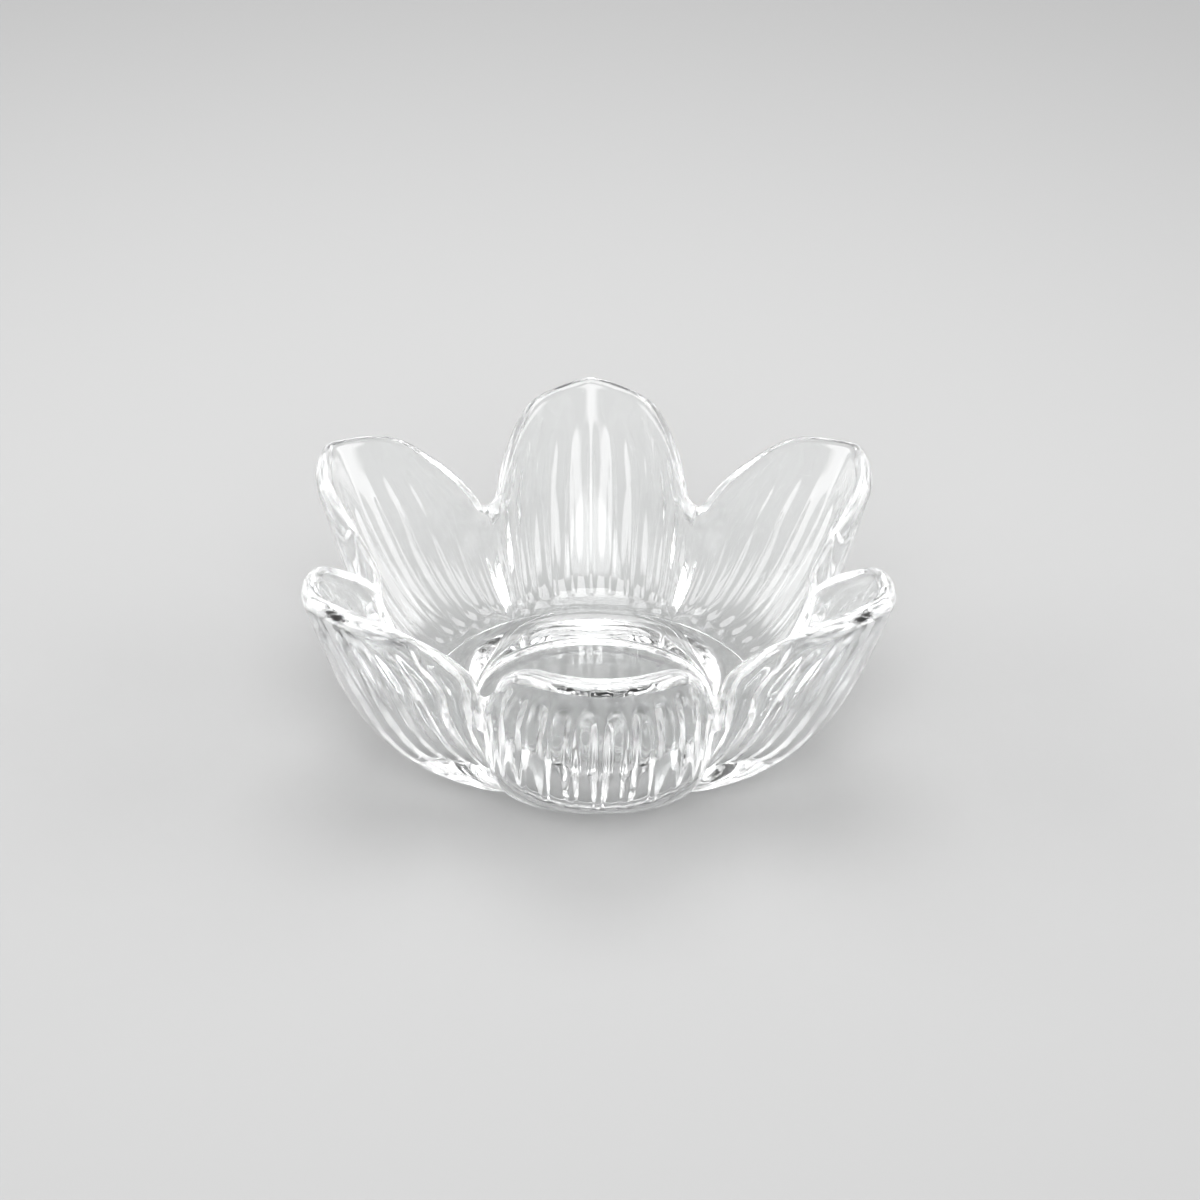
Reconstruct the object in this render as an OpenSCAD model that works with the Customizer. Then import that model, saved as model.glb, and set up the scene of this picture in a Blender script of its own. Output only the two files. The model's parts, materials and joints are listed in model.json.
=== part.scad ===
// Pressed-glass tealight holder in the form of an open lotus flower with six ribbed petals.
// Millimetres, +Z up, origin at the centre of the foot, one petal pointing to -Y.

/* [Base] */
// Radius of the round foot and of the flat shelf above it
base_r = 28.7; // [27.5:0.1:30]
// Height of the shelf above the table
shelf_h = 7.4; // [6.5:0.1:9]
// Height of the foot below the petals
foot_h = 0.3; // [0.2:0.1:1.5]
// Radius of the shallow recess under the foot
recess_r = 21.5; // [18:0.5:25]
// Depth of the recess under the foot
recess_h = 0.6; // [0.3:0.1:1]

/* [Well] */
// Radius of the bore that takes the tealight
well_r = 20.5; // [19.5:0.1:21.5]
// Thickness of the glass under the well
floor_t = 3.0; // [2.5:0.1:3.6]
// Height of the rounded lip between the bore and the shelf
lip_h = 3.2; // [2.4:0.1:3.2]

/* [Petals] */
// Distance from the axis to a petal's tip, at the middle of the glass
tip_r = 53.8; // [51:0.1:56]
// Height of the tip, at the middle of the glass
tip_h = 39.3; // [36:0.1:42]
// Distance from the axis to the notch between two petals
notch_r = 38.7; // [37:0.1:40]
// Height of the notch
notch_h = 22.4; // [20:0.1:25]
// Half the width of a petal at its shoulders
shoulder_w = 13.0; // [12:0.1:14.5]
// Height of the shoulders
shoulder_h = 36.0; // [35:0.1:38]
// Thickness of the glass at the rim
rim_t = 3.2; // [2.4:0.1:4]

/* [Ribs] */
// How many ribs would fill a petal's whole section; the outermost two fade into its edges
rib_count = 12; // [8:2:14]
// Depth of the grooves between the ribs on the inner face
rib_depth = 0.5; // [0.1:0.05:0.6]

/* [Hidden] */

glass_colour = [0.87, 0.90, 0.91, 0.55];
sector = 60;                     // angle that each petal takes up
half_sector = sector / 2;
section_end = 80;                // section angle at a petal's edge
columns = 4 * rib_count;         // steps across a petal
rows = 12;                       // steps from foot to rim
notch_v = 0.65;                  // where the notch comes on the way from foot to rim
edge_share = 0.25;               // share of the thickness left at the very rim
root_r = base_r / cos(half_sector / columns);
foot_ease = 0.3;                 // bevel on the foot's lower edge
shoulder_r = 43.6;               // distance outwards of the shoulders
point_share = 0.3;               // how far the rim runs straight to the tip, not round
rib_pitch = 2 * section_end / rib_count; // section angle from one groove to the next
rib_top = 0.88;                  // where the ribs have faded out

// Point at t on the curve with four control points
function curve(p, t) =
    pow(1 - t, 3) * p[0] + 3 * t * pow(1 - t, 2) * p[1] + 3 * t * t * (1 - t) * p[2] + t * t * t * p[3];

// Smooth step from 0 at a to 1 at b
function ease(a, b, x) = let (t = min(max((x - a) / (b - a), 0), 1)) t * t * (3 - 2 * t);

// Profiles along the middle of a petal, as [distance outwards, height]
lean = [0.92, -0.39];            // direction across the glass at the tip
outer_middle = [
    [root_r, foot_h], [root_r + 13.5, 2.5], [tip_r - 5, 18], [tip_r, tip_h] + lean * rim_t / 2
];
inner_middle = [
    [root_r, shelf_h], [root_r + 8.5, 9.5], [tip_r - 10, 21], [tip_r, tip_h] - lean * rim_t / 2
];

// The edges of a petal's own cupped section, and the web that joins it to the next petal,
// both on the plane between two petals, as [distance from the axis, height]
outer_side = [[root_r, foot_h], [34, 2.5], [36.5, 12], [notch_r - 2.6, notch_h - 0.8]];
inner_side = [[root_r, shelf_h], [30.5, 10], [32.5, 15], [notch_r - 5.4, notch_h + 0.8]];
outer_web = [[root_r - 2, foot_h], [33, 3.5], [38, 12], [notch_r + 1.5, notch_h - 0.8]];
inner_web = [[root_r - 2, shelf_h], [30.5, 10], [34.5, 15], [notch_r - 1.7, notch_h + 0.8]];
web_blend = 40;                  // higher makes the corner between a petal and the web sharper

// Free edge of a petal from the notch to the shoulder, t from 0 to 1, as [across, outwards, height]
function free_edge(t) =
    let (start = notch_r - 4) [
        start * sin(half_sector) + (shoulder_w - start * sin(half_sector)) * pow(t, 1.8),
        start * cos(half_sector)
            + (shoulder_r - start * cos(half_sector)) * (0.7 * t + 0.3 * t * t),
        notch_h + (shoulder_h - notch_h) * t
    ];

// Direction across the glass along the free edge, from inside to outside
function edge_lean(t) = [0.45 + 0.35 * t, 0.75 - 0.35 * t, -0.45];

// Edge of the petal's own outer (side 1) or inner (side -1) face at v
function face_edge(side, v) =
    v < notch_v
        ? let (p = curve(side > 0 ? outer_side : inner_side, v / notch_v))
            [p[0] * sin(half_sector), p[0] * cos(half_sector), p[1]]
        : let (t = (v - notch_v) / (1 - notch_v))
            free_edge(t) + side * edge_lean(t) * rim_t / 2;

// Point of the petal's own face: angle is the section angle, v runs from foot to rim
function own_point(side, angle, v) =
    let (
        middle = curve(side > 0 ? outer_middle : inner_middle, v),
        edge = face_edge(side, v),
        width = abs(sin(angle) / sin(section_end)),
        round_share = (cos(angle) - cos(section_end)) / (1 - cos(section_end)),
        point = point_share * ease(0.5, 1, v),
        share = round_share * (1 - point) + (1 - width) * point,
        level = v * v * (0.55 * width + 0.45 * pow(width, 12)) + (1 - v * v) * pow(width, 3)
    ) [
        edge[0] * sin(angle) / sin(section_end),
        edge[1] + (middle[0] - edge[1]) * share,
        middle[1] + (edge[2] - middle[1]) * level
    ];

// How far the web pushes a point of the petal's own face away from the axis
function web_push(side, angle, v) =
    let (
        below = min(v, notch_v),
        point = own_point(side, angle, below),
        own_r = norm([point[0], point[1]]),
        web_r = curve(side > 0 ? outer_web : inner_web, below / notch_v)[0],
        above = max(v - notch_v, 0) / (1 - notch_v)
    ) (pow(pow(own_r, web_blend) + pow(web_r, web_blend), 1 / web_blend) - own_r) * exp(-14 * above);

// Plain point of one face, without ribs
function face_point(side, angle, v) =
    let (
        point = own_point(side, angle, v),
        push = web_push(side, angle, v) / norm([point[0], point[1]])
    ) [point[0] * (1 + push), point[1] * (1 + push), point[2]];

// Distance from a point to the free rim, for the point at that angle and v
function rim_distance(point, angle, v) =
    let (
        along = max(v, notch_v),
        edge = (face_point(1, section_end, along) + face_point(-1, section_end, along)) / 2,
        beside = norm([edge[0] - abs(point[0]), edge[1] - point[1], edge[2] - point[2]]),
        above = norm((face_point(1, angle, 1) + face_point(-1, angle, 1)) / 2 - point)
    ) min(beside, above);

// Share of the full thickness that the glass keeps near its rounded rim
function fullness(distance) =
    let (gap = 1 - min(distance / (rim_t / 2), 1)) max(sqrt(1 - gap * gap), edge_share);

// Depth of the reeded inner surface at a section angle: 0 on a broad rib, 1 in a narrow groove
function groove(angle) = pow(1 - abs(sin(180 * angle / rib_pitch)), 1.5);

// Where the ribs show: not near the rim, the root or the petal's edges
function rib_share(angle, v) =
    ease(rib_top, rib_top - 0.16, v) * ease(0, 0.06, v) * ease(5.5, 5, abs(angle) / rib_pitch);

// Finished point of one face
function petal_point(side, angle, v) =
    let (
        a = face_point(side, angle, v),
        middle = (a + face_point(-side, angle, v)) / 2,
        keep = fullness(rim_distance(middle, angle, v)),
        cut = side < 0 ? rib_depth * groove(angle) * rib_share(angle, v) : 0,
        outwards = [sin(angle), cos(angle), -0.5] / norm([1, 0.5])
    ) v == 0
        ? root_point(a[2], angle)
        : middle + (a - middle) * keep + outwards * cut;

// Point where a petal joins the base, on the base's own curved side
function root_point(height, angle) =
    let (turn = half_sector * angle / section_end)
        [root_r * sin(turn), root_r * cos(turn), height];

function column_angle(j) = section_end * (2 * j / columns - 1);
function row_v(i) = 1 - pow(1 - i / rows, 1.25);

// One petal, pointing to +Y: an outer and an inner face, closed by a strip all round
module petal_shape() {
    across = columns + 1;
    face_points = across * (rows + 1);
    points = [
        for (side = [1, -1], i = [0 : rows], j = [0 : columns])
            petal_point(side, column_angle(j), row_v(i))
    ];
    // Vertex numbers round the outside of a face, in order
    border = concat(
        [for (j = [0 : columns]) j],
        [for (i = [1 : rows]) i * across + columns],
        [for (j = [columns - 1 : -1 : 0]) rows * across + j],
        [for (i = [rows - 1 : -1 : 1]) i * across]
    );
    count = len(border);
    outer_faces = [
        for (i = [0 : rows - 1], j = [0 : columns - 1], half = [0, 1])
            let (a = i * across + j, b = a + across)
                half == 0 ? [a, b, a + 1] : [b, b + 1, a + 1]
    ];
    inner_faces = [
        for (face = outer_faces)
            [face[2] + face_points, face[1] + face_points, face[0] + face_points]
    ];
    strip = [
        for (k = [0 : count - 1], half = [0, 1])
            let (a = border[k], b = border[(k + 1) % count])
                half == 0
                    ? [a, b, a + face_points]
                    : [b, b + face_points, a + face_points]
    ];
    polyhedron(points, concat(outer_faces, inner_faces, strip), convexity = 8);
}

// A petal turned to its place, counted round from the front
module petal(place) {
    color(glass_colour) rotate([0, 0, 180 + place * sector]) petal_shape();
}

// Foot, shelf and tealight well in one round solid
module base() {
    color(glass_colour)
    difference() {
        union() {
            // The foot's lower edge is eased
            cylinder(r1 = base_r - foot_ease, r2 = base_r, h = foot_ease, $fn = 180);
            translate([0, 0, foot_ease]) cylinder(r = base_r, h = shelf_h - foot_ease, $fn = 180);
        }
        translate([0, 0, floor_t]) cylinder(r = well_r, h = shelf_h, $fn = 180);
        translate([0, 0, -1]) cylinder(r = recess_r, h = 1 + recess_h, $fn = 180);
        well_lip();
    }
}

// Ring cut away above the rounded lip of the well
module well_lip() {
    rotate_extrude($fn = 180)
    difference() {
        translate([well_r - 1, shelf_h - lip_h]) square([lip_h + 1, lip_h + 1]);
        translate([well_r + lip_h, shelf_h - lip_h]) circle(r = lip_h, $fn = 48);
    }
}

module petal_front() { petal(0); }
module petal_front_right() { petal(1); }
module petal_back_right() { petal(2); }
module petal_back() { petal(3); }
module petal_back_left() { petal(4); }
module petal_front_left() { petal(5); }

base();
petal_front();
petal_front_right();
petal_back_right();
petal_back();
petal_back_left();
petal_front_left();
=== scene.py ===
"""Looks of a pressed-glass tealight holder in the form of an open lotus flower.

The CAD frame gives the base and six petals as touching solids, because that is what collides. Here they
are one moulding, as the real glass is: an outer and an inner skin run from the foot and the shelf to one
rim that goes round all six petals, and a turned profile closes them under the foot and in the well.
Lengths inside the shape functions are millimetres; angles round a petal's section are degrees. A place
on a petal is a section angle and v, which runs from 0 at the root to 1 at the rim.
"""
import json
import math

import bpy
import numpy as np
from mathutils import Matrix, Vector


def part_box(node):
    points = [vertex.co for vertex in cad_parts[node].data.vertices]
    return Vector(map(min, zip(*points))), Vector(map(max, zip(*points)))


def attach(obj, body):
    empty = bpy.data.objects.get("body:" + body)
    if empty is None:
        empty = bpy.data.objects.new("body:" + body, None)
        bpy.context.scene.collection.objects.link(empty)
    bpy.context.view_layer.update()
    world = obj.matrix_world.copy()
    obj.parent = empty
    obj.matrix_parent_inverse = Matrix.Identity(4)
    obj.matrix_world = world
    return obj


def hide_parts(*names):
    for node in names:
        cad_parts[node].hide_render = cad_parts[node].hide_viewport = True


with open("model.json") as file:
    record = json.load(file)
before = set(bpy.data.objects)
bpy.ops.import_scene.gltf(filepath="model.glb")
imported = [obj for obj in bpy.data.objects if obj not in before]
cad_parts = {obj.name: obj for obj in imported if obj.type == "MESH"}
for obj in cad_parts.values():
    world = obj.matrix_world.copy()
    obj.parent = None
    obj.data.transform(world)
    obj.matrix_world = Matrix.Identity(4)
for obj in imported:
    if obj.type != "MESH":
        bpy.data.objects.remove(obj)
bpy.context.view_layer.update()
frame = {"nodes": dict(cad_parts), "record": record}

MM = 0.001
TINY = 1e-12                          # keeps divisors above zero
OUTER, INNER = 1, -1

# Sizes that the frame gives
TIP_INSET, TIP_DROP = 0.75, 0.15      # from the petal's box to the middle of the glass at its tip
base_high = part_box("base")[1]
petal_low, petal_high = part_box("petal_front")
well = next(m for m in frame["record"]["mounts"] if m["name"] == "tealight_well")
ROOT_R = base_high.x / MM             # foot and shelf
SHELF_H = base_high.z / MM
TIP_R = -petal_low.y / MM - TIP_INSET
TIP_H = petal_high.z / MM - TIP_DROP
WELL_R = well["dims"]["r_mm"]

# Base
FOOT_H = 0.3                          # of the foot below the petals
FLOOR_H = 3.0                         # top of the glass under the tealight
LIP_R = 3.2                           # rounding between the bore and the shelf
RECESS_R, RECESS_H = 21.5, 0.6        # hollow under the foot
EASE_R = 0.45                         # rounding of the recess and the well's floor
FOOT_EASE = 0.25                      # rounding of the foot's outer edge

# Petals
PETALS = 6
HALF_SECTOR = math.radians(30)
SECTION_END = 80
RIM_T = 3.2                           # thickness of the glass at the rim
NOTCH_R, NOTCH_H, NOTCH_V = 38.7, 22.4, 0.65
NOTCH_CUT, NOTCH_RISE = 0.045, 0.06   # rounding at the bottom of the notch, as shares of section and height
CUT_FROM, CUT_TO = 0.1, 0.7           # heights above the notch, as shares, over which that rounding ends
SHOULDER_W, SHOULDER_R, SHOULDER_H = 13.0, 43.6, 36.0
POINT_SHARE = 0.3                     # how far the rim runs straight to the tip, not round
POINT_FROM = 0.5                      # v at which that starts
TIP_SOFT = 0.07                       # rounding of the tip, as a share of the width
CORNER_POWER = 6                      # higher makes the shoulders squarer
WEB_BLEND = 40                        # higher makes the corner between a petal and the web sharper
WEB_FADE = 0.16                       # how far above the notch the web still shows
ROUND_V = 0.16                        # v up to which a face keeps to the round foot or shelf
NOTCH_REACH, RELAX_PASSES = 4.0, 60   # glass evened out round each notch
RELAX_FULL, RELAX_STEP = 0.4, 0.9     # share of that reach with the full effect, and its strength

# Free side of a petal, from the notch to the shoulder
FREE_START = 34.7                     # where a petal's own edge would meet its neighbour's
FREE_BEND = 1.8                       # higher leaves the edge upright for longer
FREE_SPREAD = 0.7                     # how evenly it moves outwards on the way up
RADIAL_EASE, ASIDE_EASE = 0.15, 0.1   # rounding into the notch, outwards and sideways
EDGE_LEAN = np.array([0.45, 0.75, -0.45])   # direction across the glass at the notch
LEAN_TURN = 0.35                      # how much it has turned sideways at the shoulder

# How a petal's section falls from its middle to its edges: near the rim a straight part and a sharp one
LEVEL_STRAIGHT, LEVEL_SHARP, SHARP_POWER = 0.55, 0.45, 12
ROOT_POWER = 3                        # and near the root

# Profiles as [distance from the axis, height]
TIP_LEAN = np.array([0.92, -0.39])
TIP = np.array([TIP_R, TIP_H])
MIDDLE = {
    OUTER: [[ROOT_R, FOOT_H], [ROOT_R + 13.5, 2.5], [TIP_R - 5, 18], TIP + TIP_LEAN * RIM_T / 2],
    INNER: [[ROOT_R, SHELF_H], [ROOT_R + 8.5, 9.5], [TIP_R - 10, 21], TIP - TIP_LEAN * RIM_T / 2],
}
EDGE = {
    OUTER: [[ROOT_R, FOOT_H], [34, 2.5], [36.5, 12], [NOTCH_R - 2.6, NOTCH_H - 0.8]],
    INNER: [[ROOT_R, SHELF_H], [30.5, 10], [32.5, 15], [NOTCH_R - 5.4, NOTCH_H + 0.8]],
}
WEB = {
    OUTER: [[ROOT_R - 2, FOOT_H], [33, 3.5], [38, 12], [NOTCH_R + 1.5, NOTCH_H - 0.8]],
    INNER: [[ROOT_R - 2, SHELF_H], [30.5, 10], [34.5, 15], [NOTCH_R - 1.7, NOTCH_H + 0.8]],
}

# Ribs on the inner face: broad, with a narrow groove in the middle of the petal
RIB_COUNT = 12                        # that would fill the whole section
RIB_PITCH = 2 * SECTION_END / RIB_COUNT
RIB_EDGE, RIB_EDGE_FADE = 5.25, 0.25  # ribs from the middle to where they half fade, and half the fade
RIB_RISE, RIB_DEPTH = 0.35, 0.9       # above the plain face, and down to the groove
GROOVE_SHARP = 1.8                    # higher makes the grooves narrower
GROOVE_SOFT = 0.12                    # rounding of the groove's bottom
RIB_TOP, RIB_TOP_FADE = 0.90, 0.16    # where the ribs have faded out, and over what length
RIB_TOE = 0.035                       # length of their rounded ends on the shelf
LOW_SHARE, LOW_END = 0.55, 0.3        # of their full height at the shelf, and where they reach all of it
SHELF_SOFT = 0.05                     # rounding where they stand on the shelf

# Mesh: columns over half a petal's top and down one side, and rows from root to rim
TOP_COLUMNS, SIDE_COLUMNS, ROWS = 35, 18, 58
TOP_END = 0.90                        # share of the section that the top columns take
SIDE_CROWD = 1.4                      # higher crowds the side columns towards the notch
ROW_EVEN, ROW_CROWD = 0.4, 1.6        # share of even row spacing, and how rows crowd towards the rim
ROW_TURN = 6                          # higher keeps the columns straight until nearer the rim
RIM_REACH = 12                        # columns past half a petal that are searched for the nearest rim


def bezier(points, t):
    p = np.asarray(points, float)
    t = np.asarray(t)[..., None]
    return (1 - t) ** 3 * p[0] + 3 * t * (1 - t) ** 2 * p[1] + 3 * t * t * (1 - t) * p[2] + t**3 * p[3]


def smooth(a, b, x):
    """Smooth step from 0 at a to 1 at b."""
    t = np.clip((x - a) / (b - a), 0, 1)
    return t * t * (3 - 2 * t)


def unit(vectors):
    return vectors / np.maximum(np.linalg.norm(vectors, axis=-1, keepdims=True), TINY)


def section_across(angle):
    """Place across the petal at a section angle, from -1 to 1."""
    return np.sin(np.radians(angle)) / math.sin(math.radians(SECTION_END))


def section_width(angle):
    """Share of the half-width at a section angle, without a kink in the middle."""
    s = section_across(angle)
    return (np.sqrt(s * s + TIP_SOFT**2) - TIP_SOFT) / (math.sqrt(1 + TIP_SOFT**2) - TIP_SOFT)


def free_edge(t):
    """Middle of the glass along a petal's free side, from the notch to the shoulder."""
    sin_half, cos_half = math.sin(HALF_SECTOR), math.cos(HALF_SECTOR)
    start = np.array([FREE_START * sin_half, FREE_START * cos_half])
    x = start[0] + (SHOULDER_W - start[0]) * t**FREE_BEND
    y = start[1] + (SHOULDER_R - start[1]) * (FREE_SPREAD * t + (1 - FREE_SPREAD) * t * t)
    radial = (x - start[0]) * sin_half + (y - start[1]) * cos_half
    aside = (y - start[1]) * sin_half - (x - start[0]) * cos_half
    radial = radial * (1 - np.exp(-t / RADIAL_EASE))
    aside = aside * (1 - np.exp(-t / ASIDE_EASE))
    return np.stack([
        start[0] + radial * sin_half - aside * cos_half,
        start[1] + radial * cos_half + aside * sin_half,
        NOTCH_H + (SHOULDER_H - NOTCH_H) * t,
    ], -1)


def face_edge(side, v):
    """Edge of a petal's own outer or inner face."""
    low = bezier(EDGE[side], np.minimum(v / NOTCH_V, 1))
    below = np.stack([
        low[..., 0] * math.sin(HALF_SECTOR), low[..., 0] * math.cos(HALF_SECTOR), low[..., 1]
    ], -1)
    t = np.clip((v - NOTCH_V) / (1 - NOTCH_V), 0, 1)
    turn = LEAN_TURN * t
    lean = np.stack([EDGE_LEAN[0] + turn, EDGE_LEAN[1] - turn, np.full_like(t, EDGE_LEAN[2])], -1)
    above = free_edge(t) + side * lean * RIM_T / 2
    return np.where((v < NOTCH_V)[..., None], below, above)


def own_point(side, angle, v):
    """Point of a petal's own cupped face, without the web or ribs."""
    middle = bezier(MIDDLE[side], v)
    edge = face_edge(side, v)
    width = section_width(angle)
    end_cos = math.cos(math.radians(SECTION_END))
    round_share = (np.cos(np.radians(angle)) - end_cos) / (1 - end_cos)
    point = POINT_SHARE * smooth(POINT_FROM, 1, v)
    share = round_share * (1 - point) + (1 - width) * point
    rim_level = LEVEL_STRAIGHT * width + LEVEL_SHARP * width**SHARP_POWER
    level = v * v * rim_level + (1 - v * v) * width**ROOT_POWER
    return np.stack([
        edge[..., 0] * section_across(angle),
        edge[..., 1] + (middle[..., 0] - edge[..., 1]) * share,
        middle[..., 1] + (edge[..., 2] - middle[..., 1]) * level,
    ], -1)


def web_push(side, angle, v):
    """How far the web pushes a point of the petal's own face away from the axis."""
    below = np.minimum(v, NOTCH_V)
    low = own_point(side, angle, below)
    own_r = np.hypot(low[..., 0], low[..., 1])
    web_r = bezier(WEB[side], below / NOTCH_V)[..., 0]
    above = np.maximum(v - NOTCH_V, 0) / (1 - NOTCH_V)
    joined_r = (own_r**WEB_BLEND + web_r**WEB_BLEND) ** (1 / WEB_BLEND)
    return (joined_r - own_r) * np.exp(-(above / WEB_FADE) ** 2)


def face_point(side, angle, v):
    """Point of one face, pushed out to the web where the petal's own face lies nearer the axis."""
    point = own_point(side, angle, v)
    radius = np.hypot(point[..., 0], point[..., 1])
    # Over its first stretch the face rises from the round foot or shelf
    flat = 1 - smooth(0, ROUND_V, v)
    target = radius + web_push(side, angle, v)
    target = target + (np.maximum(target, ROOT_R) - target) * flat
    round_r = bezier(MIDDLE[side], v)[..., 0]
    target = target * (1 - flat) + np.minimum(target, round_r) * flat
    point[..., :2] *= (target / radius)[..., None]
    return point


def notch_trim(above):
    """Share of the section cut away beside the notch, to round its bottom."""
    rise = np.clip(above / NOTCH_RISE, 0, 1)
    return NOTCH_CUT * np.sqrt(1 - (1 - rise) ** 2) * (1 - smooth(CUT_FROM, CUT_TO, above))


def half_columns():
    """Columns from a petal's middle to the notch.

    For each one: its share of the section at the root and at the rim, and how far up between the notch's
    level and the tip it meets the rim.
    """
    top = TOP_END * np.arange(TOP_COLUMNS + 1) / TOP_COLUMNS
    top_v = (1 - top**CORNER_POWER) ** (1 / CORNER_POWER)
    q = np.arange(1, SIDE_COLUMNS + 1) / SIDE_COLUMNS
    side_v = top_v[-1] * (1 - q) ** SIDE_CROWD
    side = (1 - side_v**CORNER_POWER) ** (1 / CORNER_POWER)
    root = TOP_END + (1 - TOP_END) * q
    return (
        np.concatenate([top, root]), np.concatenate([top, side]), np.concatenate([top_v, side_v])
    )


def petal_grid():
    """Section angle and v of every mesh point of one petal, rows from root to rim.

    One of the two notch columns is left out, because the next petal brings it.
    """
    root, rim, rim_v = half_columns()
    root = np.concatenate([-root[:0:-1], root[:-1]])
    rim = np.concatenate([-rim[:0:-1], rim[:-1]])
    rim_v = np.concatenate([rim_v[:0:-1], rim_v[:-1]])
    x = np.arange(ROWS + 1)[:, None] / ROWS
    eased = ROW_EVEN * x + (1 - ROW_EVEN) * (3 * x * x - 2 * x**3)
    t = 1 - (1 - eased) ** ROW_CROWD
    v = t * (NOTCH_V + (1 - NOTCH_V) * rim_v)
    above = np.maximum(v - NOTCH_V, 0) / (1 - NOTCH_V)
    angle = SECTION_END * (root + (rim - root) * t**ROW_TURN) * (1 - notch_trim(above))
    return angle, v


def ring(rows):
    """Rows of one petal that points to +Y, repeated round the axis: the first petal points to -Y."""
    turned = []
    for place in range(PETALS):
        turn = math.pi + place * 2 * HALF_SECTOR
        c, s = math.cos(turn), math.sin(turn)
        x, y = rows[..., 0], rows[..., 1]
        # Columns run clockwise on a petal, so petals follow clockwise too
        turned.append(np.stack([x * c + y * s, -x * s + y * c, rows[..., 2]], -1))
    return np.concatenate(turned, 1)


def surface_normals(grid):
    """Unit normals of a ring grid, from its neighbours; they point outwards or down."""
    along = np.roll(grid, -1, 1) - np.roll(grid, 1, 1)
    up = np.gradient(grid, axis=0)
    return unit(np.cross(up, along))


def rim_fullness(middle, half_thickness):
    """Share of the thickness that is left near the rounded rim."""
    rim = middle[-1]
    count = rim.shape[0]
    step = count // PETALS
    share = np.ones(middle.shape[:2])
    reach = step // 2 + RIM_REACH
    for column in range(step):
        near = rim[np.arange(column - reach, column + reach + 1) % count]
        start, chord = near[:-1], np.diff(near, axis=0)
        offset = middle[:, column, None, :] - start[None]
        along = (offset * chord).sum(-1) / np.maximum((chord**2).sum(-1), TINY)
        gap = np.linalg.norm(offset - np.clip(along, 0, 1)[..., None] * chord, axis=-1).min(1)
        inward = 1 - np.minimum(gap / half_thickness[:, column], 1)
        share[:, column] = np.sqrt(np.maximum(1 - inward**2, 0))
    for place in range(1, PETALS):
        share[:, place * step:(place + 1) * step] = share[:, :step]
    share[-1] = 0
    return share


def rib_height(angle, v):
    """Height of the ribbed surface above the plain inner face."""
    wave = np.sin(np.pi * angle / RIB_PITCH)
    rib = np.sqrt(wave**2 + GROOVE_SOFT**2) / math.sqrt(1 + GROOVE_SOFT**2)
    show = smooth(RIB_TOP, RIB_TOP - RIB_TOP_FADE, v)
    show = show * smooth(RIB_EDGE + RIB_EDGE_FADE, RIB_EDGE - RIB_EDGE_FADE, np.abs(angle) / RIB_PITCH)
    toe = np.sqrt(1 - (1 - np.minimum(v / RIB_TOE, 1)) ** 2)
    toe = toe * (LOW_SHARE + (1 - LOW_SHARE) * smooth(0, LOW_END, v))
    return (RIB_RISE - RIB_DEPTH * (1 - rib) ** GROOVE_SHARP) * show * toe


def petal_skins():
    """Outer and inner skins of all the petals as ring grids."""
    angle, v = petal_grid()
    skins = {side: ring(face_point(side, angle, v)) for side in (OUTER, INNER)}
    middle = (skins[OUTER] + skins[INNER]) / 2
    half = (skins[OUTER] - skins[INNER]) / 2
    full = rim_fullness(middle, np.linalg.norm(half, axis=-1))[..., None]
    height = rib_height(np.tile(angle, PETALS), np.tile(v, PETALS))[..., None]
    inner = middle - half * full - surface_normals(skins[INNER]) * height
    # The grooves stop at the shelf, which leaves each rib a rounded foot
    over = inner[1:, :, 2] - SHELF_H
    inner[1:, :, 2] = SHELF_H + (over + np.sqrt(over**2 + SHELF_SOFT**2)) / 2
    return middle + half * full, inner


def arc(centre, radius, start, end, steps):
    """Points of an arc in the profile plane, angles in degrees from the direction away from the axis."""
    turn = np.radians(np.linspace(start, end, steps + 1))
    return [[centre[0] + radius * math.cos(a), centre[1] + radius * math.sin(a)] for a in turn]


# Extra points on the flat stretches of the profiles, this far from where a stretch starts or ends
FOOT_SPLIT, RECESS_SPLIT, RECESS_INSET = 1.6, 1.2, 1
SHELF_SPLIT, SHELF_MIDDLE, LIP_SPLIT, FLOOR_INSET = 0.5, 2.5, 0.5, 1.2


def foot_profile():
    """From the petals' outer root down, under the foot and into the recess."""
    small = EASE_R / 2
    return (
        arc((ROOT_R - FOOT_EASE, FOOT_EASE), FOOT_EASE, 0, -90, steps=6)
        + [[ROOT_R - FOOT_SPLIT, 0], [RECESS_R + RECESS_SPLIT, 0]]
        + arc((RECESS_R + small, small), small, -90, -180, steps=3)
        + arc((RECESS_R - small, RECESS_H - small), small, 0, 90, steps=3)
        + [[RECESS_R - RECESS_INSET, RECESS_H]]
    )


def well_profile():
    """From the petals' inner root along the shelf, over the rounded lip and down to the well's floor."""
    lip = (WELL_R + LIP_R, SHELF_H - LIP_R)
    shelf = [ROOT_R - SHELF_SPLIT, ROOT_R - SHELF_MIDDLE, lip[0] + LIP_SPLIT]
    return (
        [[radius, SHELF_H] for radius in shelf]
        + arc(lip, LIP_R, 90, 180, steps=10)
        + arc((WELL_R - EASE_R, FLOOR_H + EASE_R), EASE_R, 0, -90, steps=4)
        + [[WELL_R - FLOOR_INSET, FLOOR_H]]
    )


def turned_rows(profile, root_row):
    """Rows of points round the axis at the root's own directions, one for each point of a profile."""
    around = unit(root_row[:, :2])
    return np.array([
        np.column_stack([around * radius, np.full(len(around), height)]) for radius, height in profile
    ])


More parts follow.
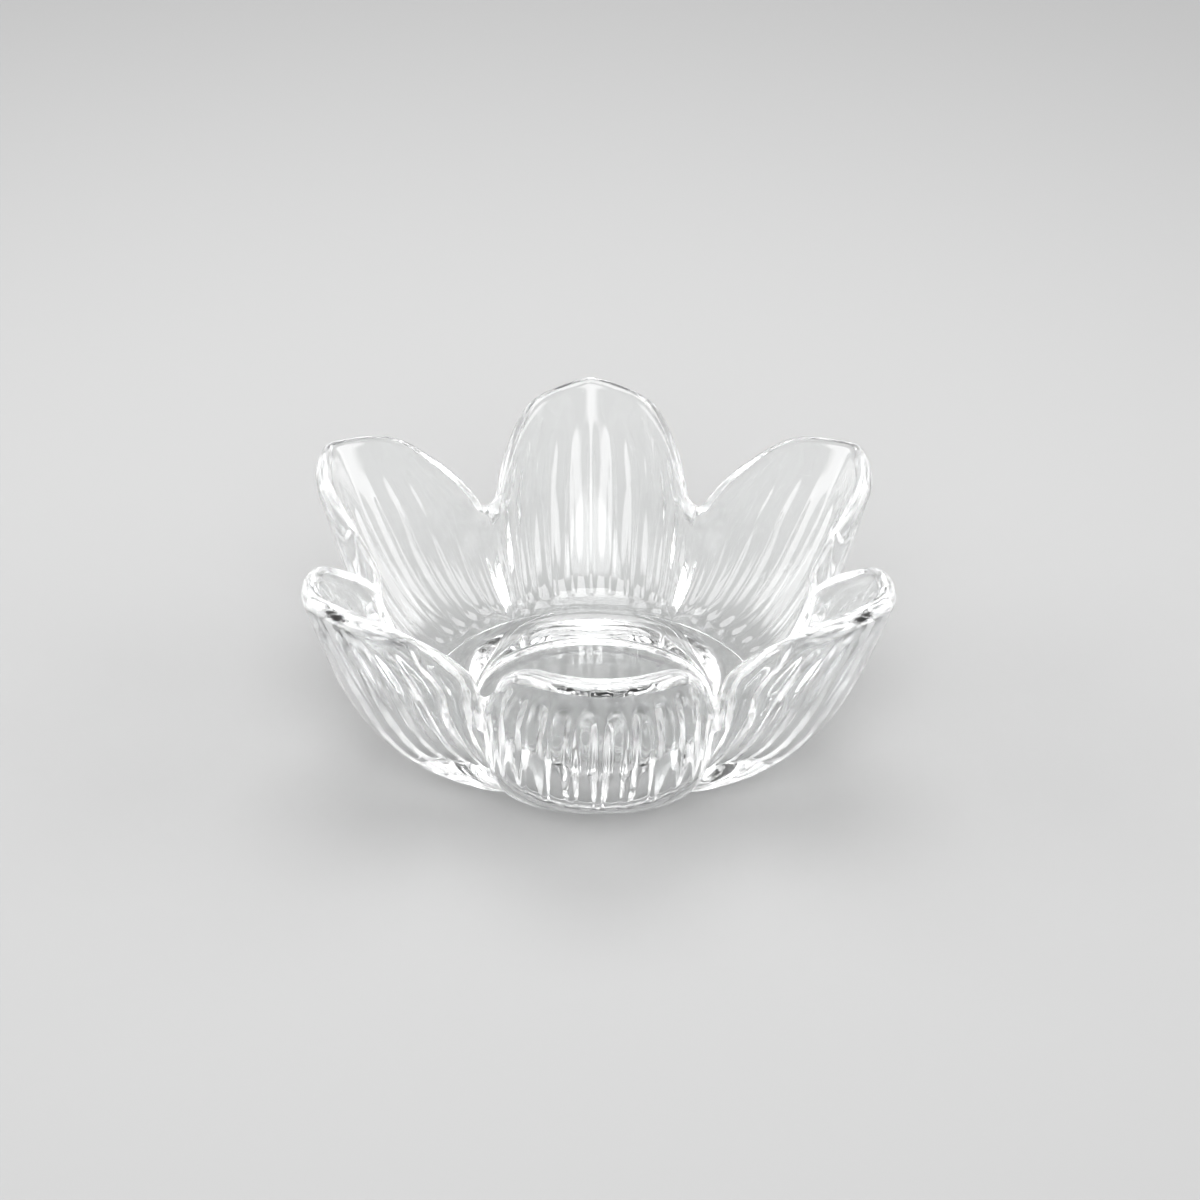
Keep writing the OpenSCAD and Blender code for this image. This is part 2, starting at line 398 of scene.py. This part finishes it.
def relaxed(rows):
    """The rows with the glass round each notch evened out, as fire polishing rounds it."""
    weight = np.zeros(rows.shape[:2])
    for place in range(PETALS):
        turn = place * 2 * HALF_SECTOR
        notch = np.array([NOTCH_R * math.cos(turn), NOTCH_R * math.sin(turn), NOTCH_H])
        distance = np.linalg.norm(rows - notch, axis=-1)
        weight = np.maximum(weight, smooth(NOTCH_REACH, RELAX_FULL * NOTCH_REACH, distance))
    weight = weight[1:-1, :, None]
    for _ in range(RELAX_PASSES):
        beside = np.roll(rows, 1, 1) + np.roll(rows, -1, 1)
        mean = (beside[1:-1] + rows[2:] + rows[:-2]) / 4
        rows[1:-1] += RELAX_STEP * weight * (mean - rows[1:-1])
    return rows


def glass_mesh():
    """The whole moulding as one closed mesh.

    Its rows run from under the foot, up the outside, over the rim and down the inside to the well's floor.
    """
    outer, inner = petal_skins()
    foot = turned_rows(foot_profile(), outer[0])[::-1]
    well_rows = turned_rows(well_profile(), inner[0])
    rows = relaxed(np.concatenate([foot, outer, inner[-2::-1], well_rows]))
    count, around = rows.shape[:2]
    index = np.arange(count * around).reshape(count, around)
    following = np.roll(index, -1, 1)
    quads = np.stack([index[:-1], index[1:], following[1:], following[:-1]], -1).reshape(-1, 4)
    faces = quads.tolist() + [index[0].tolist(), index[-1][::-1].tolist()]
    mesh = bpy.data.meshes.new("lotus_glass")
    mesh.from_pydata((rows.reshape(-1, 3) * MM).tolist(), [], faces)
    mesh.shade_smooth()
    mesh.validate()
    return mesh


def node(tree, kind, **values):
    """A shader node with its own attributes and unlinked inputs set."""
    made = tree.nodes.new(kind)
    for name, value in values.items():
        if hasattr(made, name):
            setattr(made, name, value)
        else:
            made.inputs[name.replace("_", " ")].default_value = value
    return made


def map_range(socket, start, end, low, high, interpolation="LINEAR"):
    """A socket's value taken from the range start to end into low to high."""
    tree = socket.id_data
    made = node(tree, "ShaderNodeMapRange", interpolation_type=interpolation,
                From_Min=start, From_Max=end, To_Min=low, To_Max=high)
    tree.links.new(socket, made.inputs["Value"])
    return made.outputs["Result"]


def glass_material():
    """Clear pressed glass with faint long waves, fine ripple, slight haze and a trace of green."""
    material = bpy.data.materials.new("clear_pressed_glass")
    material.use_nodes = True
    tree = material.node_tree
    shader = tree.nodes["Principled BSDF"]
    shader.inputs["Transmission Weight"].default_value = 1.0
    shader.inputs["IOR"].default_value = 1.52
    shader.inputs["Coat Weight"].default_value = 0.3
    shader.inputs["Coat IOR"].default_value = 1.6
    shader.inputs["Coat Roughness"].default_value = 0.02
    place = node(tree, "ShaderNodeTexCoord").outputs["Object"]

    waves = node(tree, "ShaderNodeTexNoise", Scale=60.0, Detail=1.0, Roughness=0.4)
    ripple = node(tree, "ShaderNodeTexNoise", Scale=420.0, Detail=2.0, Roughness=0.5)
    tint = node(tree, "ShaderNodeTexNoise", Scale=35.0, Detail=1.0)
    haze = node(tree, "ShaderNodeTexNoise", Scale=160.0, Detail=3.0)
    for texture in (waves, ripple, tint, haze):
        tree.links.new(place, texture.inputs["Vector"])

    colour = node(tree, "ShaderNodeMix", data_type="RGBA")
    colour_a, colour_b = [s for s in colour.inputs if s.type == "RGBA"]
    colour_a.default_value = (0.985, 0.992, 0.992, 1)
    colour_b.default_value = (0.968, 0.98, 0.978, 1)
    tree.links.new(tint.outputs["Fac"], colour.inputs["Factor"])
    tree.links.new([s for s in colour.outputs if s.type == "RGBA"][0], shader.inputs["Base Color"])

    rough = map_range(haze.outputs["Fac"], start=0.45, end=0.8, low=0.0, high=0.03)
    tree.links.new(rough, shader.inputs["Roughness"])

    long_bump = node(tree, "ShaderNodeBump", Strength=0.12, Distance=0.0006)
    fine_bump = node(tree, "ShaderNodeBump", Strength=0.04, Distance=0.00012)
    tree.links.new(waves.outputs["Fac"], long_bump.inputs["Height"])
    tree.links.new(ripple.outputs["Fac"], fine_bump.inputs["Height"])
    tree.links.new(long_bump.outputs["Normal"], fine_bump.inputs["Normal"])
    tree.links.new(fine_bump.outputs["Normal"], shader.inputs["Normal"])
    return material


def add_holder():
    holder = bpy.data.objects.new("lotus_glass", glass_mesh())
    bpy.context.scene.collection.objects.link(holder)
    holder.data.materials.append(glass_material())
    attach(holder, "root")
    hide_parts(*sorted(frame["nodes"]))


# Camera: where it looks from, the point it looks at, and its lens and sensor in millimetres
CAMERA_AZIMUTH, CAMERA_ELEVATION, CAMERA_ROLL = -1.61, 29.89, 0.876
CAMERA_DISTANCE = 0.5976
CAMERA_AIM = Vector((0.0019, 0.0403, 0))
CAMERA_LENS, CAMERA_SENSOR = 96.65, 36


def add_camera():
    data = bpy.data.cameras.new("camera")
    data.lens = CAMERA_LENS
    data.sensor_width = CAMERA_SENSOR
    camera = bpy.data.objects.new("camera", data)
    bpy.context.scene.collection.objects.link(camera)
    azimuth, elevation = math.radians(CAMERA_AZIMUTH), math.radians(CAMERA_ELEVATION)
    back = Vector((
        math.sin(azimuth) * math.cos(elevation),
        -math.cos(azimuth) * math.cos(elevation),
        math.sin(elevation),
    ))
    turn = (-back).to_track_quat("-Z", "Y").to_matrix()
    roll = Matrix.Rotation(math.radians(CAMERA_ROLL), 3, "Z")
    place = Matrix.Translation(CAMERA_AIM + back * CAMERA_DISTANCE)
    camera.matrix_world = place @ (turn @ roll).to_4x4()
    bpy.context.scene.camera = camera


# Floor: just below the foot, so that the two flat faces don't coincide
FLOOR_SIZE, FLOOR_DROP = 6.0, 0.00005
FLOOR_GREY = 0.335
# Painted shade for the light falling off: the floor's grey darkens slowly away from a point beside the
# holder, from near to far, to a share of its grey
PAINTED_FALLOFF_CENTRE = (-0.03, 0.03, 0)
PAINTED_FALLOFF_NEAR, PAINTED_FALLOFF_FAR, PAINTED_FALLOFF_END = 0.08, 0.5, 0.74


def floor_material():
    """Matt pale paper, with painted shade that darkens it away from the holder where the light falls off.
    """
    material = bpy.data.materials.new("matt_pale_floor")
    material.use_nodes = True
    tree = material.node_tree
    shader = tree.nodes["Principled BSDF"]
    distance = node(tree, "ShaderNodeVectorMath", operation="DISTANCE")
    distance.inputs[1].default_value = PAINTED_FALLOFF_CENTRE
    tree.links.new(node(tree, "ShaderNodeTexCoord").outputs["Object"], distance.inputs[0])
    # Painted shade: the base colour darkens with distance from the holder, in place of the light falling
    # off
    grey = map_range(distance.outputs["Value"], PAINTED_FALLOFF_NEAR, PAINTED_FALLOFF_FAR,
                     FLOOR_GREY, FLOOR_GREY * PAINTED_FALLOFF_END, "SMOOTHSTEP")
    tree.links.new(grey, shader.inputs["Base Color"])
    shader.inputs["Roughness"].default_value = 0.9
    shader.inputs["Specular IOR Level"].default_value = 0.1
    return material


def add_floor():
    half = FLOOR_SIZE / 2
    corners = [(-half, -half), (half, -half), (half, half), (-half, half)]
    mesh = bpy.data.meshes.new("floor")
    mesh.from_pydata([(x, y, -FLOOR_DROP) for x, y in corners], [], [(0, 1, 2, 3)])
    mesh.materials.append(floor_material())
    floor = bpy.data.objects.new("floor", mesh)
    bpy.context.scene.collection.objects.link(floor)


# Studio brightness low round the tent and above, and the heights between which it changes
TENT_LOW, TENT_HIGH = 0.8, 0.95
TENT_FROM, TENT_TO = 0.0, 0.5
# Soft boxes in front above the camera, left and right: the direction of each, the cosines of the angles
# from it at which the box ends and is full, and the brightness it adds
SOFT_BOXES = [
    ((0.0, -1.0, 0.8), 0.87, 0.95, 3.6),
    ((-1.0, 0.1, 0.4), 0.88, 0.95, 3.5),
    ((1.0, 0.1, 0.4), 0.88, 0.95, 3.5),
]


def add_world():
    """White tent round the holder with soft boxes in front and on both sides."""
    world = bpy.data.worlds.new("studio")
    bpy.context.scene.world = world
    world.use_nodes = True
    tree = world.node_tree
    direction = node(tree, "ShaderNodeTexCoord").outputs["Generated"]
    split = node(tree, "ShaderNodeSeparateXYZ")
    tree.links.new(direction, split.inputs["Vector"])
    total = map_range(split.outputs["Z"], TENT_FROM, TENT_TO, TENT_LOW, TENT_HIGH, "SMOOTHSTEP")
    for axis, end, full, strength in SOFT_BOXES:
        dot = node(tree, "ShaderNodeVectorMath", operation="DOT_PRODUCT")
        dot.inputs[1].default_value = Vector(axis).normalized()
        tree.links.new(direction, dot.inputs[0])
        box = map_range(dot.outputs["Value"], end, full, 0, strength, "SMOOTHSTEP")
        added = node(tree, "ShaderNodeMath", operation="ADD")
        tree.links.new(total, added.inputs[0])
        tree.links.new(box, added.inputs[1])
        total = added.outputs["Value"]
    background = tree.nodes["Background"]
    background.inputs["Color"].default_value = (1, 1, 1, 1)
    tree.links.new(total, background.inputs["Strength"])


# Light panel over the holder: where it hangs, its side, and its watts
PANEL_PLACE = Vector((0, 0.14, 0.70))
PANEL_SIDE, PANEL_WATTS = 0.45, 2.5


def add_panel():
    data = bpy.data.lights.new("panel", "AREA")
    data.shape = "SQUARE"
    data.size = PANEL_SIDE
    data.energy = PANEL_WATTS
    panel = bpy.data.objects.new("panel", data)
    bpy.context.scene.collection.objects.link(panel)
    panel.location = PANEL_PLACE
    panel.rotation_mode = "QUATERNION"
    panel.rotation_quaternion = (-PANEL_PLACE).to_track_quat("-Z", "Y")


def set_colour():
    """Plain colours, and enough bounces for light to leave the thick glass."""
    scene = bpy.context.scene
    scene.view_settings.view_transform = "Standard"
    scene.cycles.max_bounces = 48
    scene.cycles.transmission_bounces = 40
    scene.cycles.glossy_bounces = 14


add_camera()
add_holder()
add_floor()
add_world()
add_panel()
set_colour()
